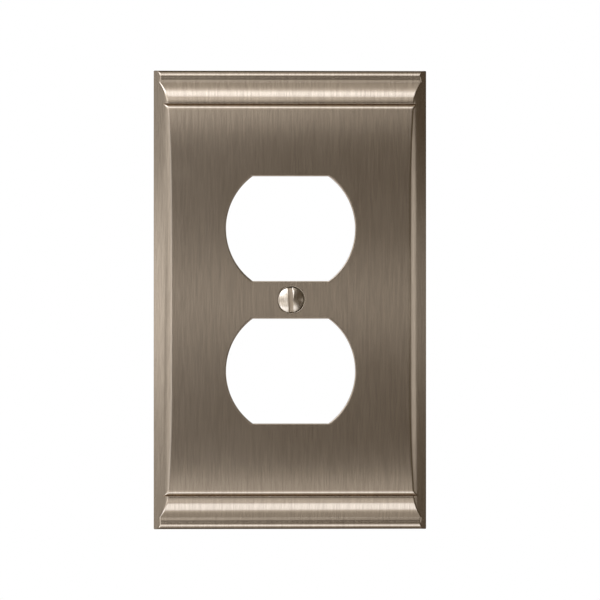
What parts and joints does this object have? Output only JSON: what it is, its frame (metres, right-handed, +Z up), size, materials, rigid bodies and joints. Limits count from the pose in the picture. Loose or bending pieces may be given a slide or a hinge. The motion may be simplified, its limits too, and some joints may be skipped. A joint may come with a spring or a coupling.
{
  "type": "duplex receptacle wall plate",
  "caption": "Rectangular metal wall plate with moulded top and bottom edges, stacked rounded outlet openings, and an oval-head centre screw held by a washer.",
  "frame": {"origin": "on the axis of the centre screw, in the plane of the wall that the rim lies on", "axes": "+Z up the plate, +X to the right as the plate is seen from the room, +Y into the wall"},
  "size_m": [0.0746, 0.0136, 0.1254],
  "materials": {
    "plate_satin_nickel": "die-cast zinc, brushed up and down, satin nickel plated and lacquered",
    "screw_nickel": "nickel-plated steel, brighter than the plate",
    "washer_fibre": "red-brown vulcanised fibre"
  },
  "bodies": {
    "plate": {"cover_plate": "plate_satin_nickel"},
    "washer": {"retaining_washer": "washer_fibre"},
    "screw": {"mounting_screw": "screw_nickel"}
  },
  "joints": [
    {"name": "washer_travel", "type": "slide", "parent": "plate", "child": "washer", "axis": [0, -1, 0], "range_m": [0, 0.00187]},
    {"name": "screw_turn", "type": "hinge", "parent": "washer", "child": "screw", "pos_m": [0, 0, 0], "axis": [0, -1, 0], "range_deg": [0, 848.2]}
  ],
  "couplings": [
    {"joint": "screw_turn", "follows": "washer_travel", "rad_per_m": 7915.8}
  ]
}
